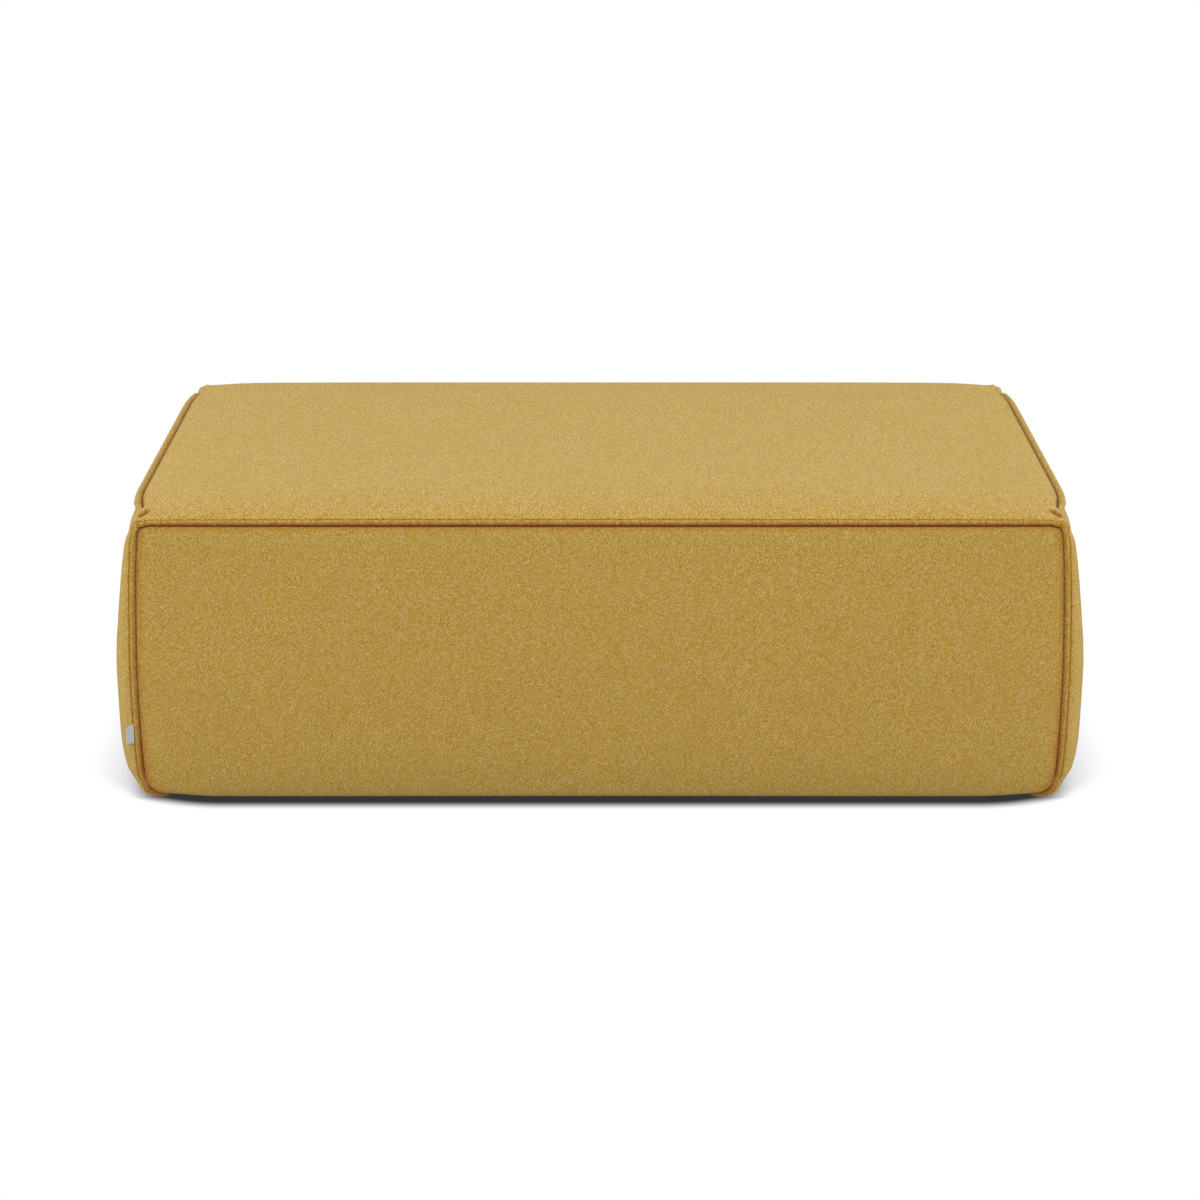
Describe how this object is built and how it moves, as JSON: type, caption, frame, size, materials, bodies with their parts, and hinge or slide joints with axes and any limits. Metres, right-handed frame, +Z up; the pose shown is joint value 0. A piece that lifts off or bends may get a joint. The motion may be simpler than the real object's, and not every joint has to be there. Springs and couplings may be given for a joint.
{
  "type": "upholstered ottoman",
  "caption": "Low block ottoman with a crowned top, a sewn cloth cover with lapped seams, foam pads, a sprung timber frame and hidden glides.",
  "frame": {"origin": "on the floor, under the middle of the ottoman", "axes": "+Z up, +X along the long side, -Y towards the front"},
  "size_m": [1.3342, 0.8422, 0.417],
  "materials": {
    "cover_cloth": "mustard wool-like cloth with a fine mixed weave",
    "dust_cloth": "black non-woven cloth",
    "tag_tape": "blank grey woven tape",
    "pad_foam": null,
    "felt": "needled grey felt",
    "spring_steel": "oiled spring wire and pressed clips",
    "frame_wood": "planed softwood, unfinished",
    "lining_board": "brown hardboard",
    "glide_plastic": "black moulded plastic"
  },
  "bodies": {
    "root": {"top_panel": "cover_cloth", "front_panel": "cover_cloth", "back_panel": "cover_cloth", "left_panel": "cover_cloth", "right_panel": "cover_cloth", "dust_cover": "dust_cloth", "tag": "tag_tape", "top_pad": "pad_foam", "front_pad": "pad_foam", "back_pad": "pad_foam", "left_pad": "pad_foam", "right_pad": "pad_foam", "seat_foam": "pad_foam", "felt": "felt", "spring_1": "spring_steel", "spring_2": "spring_steel", "spring_3": "spring_steel", "spring_4": "spring_steel", "spring_5": "spring_steel", "spring_6": "spring_steel", "spring_7": "spring_steel", "spring_8": "spring_steel", "front_clips": "spring_steel", "back_clips": "spring_steel", "front_tie_wire": "spring_steel", "back_tie_wire": "spring_steel", "front_upper_rail": "frame_wood", "back_upper_rail": "frame_wood", "left_upper_rail": "frame_wood", "right_upper_rail": "frame_wood", "front_lower_rail": "frame_wood", "back_lower_rail": "frame_wood", "left_lower_rail": "frame_wood", "right_lower_rail": "frame_wood", "front_left_post": "frame_wood", "front_right_post": "frame_wood", "back_left_post": "frame_wood", "back_right_post": "frame_wood", "front_stile": "frame_wood", "back_stile": "frame_wood", "upper_stretcher": "frame_wood", "lower_stretcher": "frame_wood", "front_board": "lining_board", "back_board": "lining_board", "left_board": "lining_board", "right_board": "lining_board", "front_left_glide": "glide_plastic", "front_right_glide": "glide_plastic", "back_left_glide": "glide_plastic", "back_right_glide": "glide_plastic", "glide_studs": "spring_steel"}
  },
  "joints": []
}
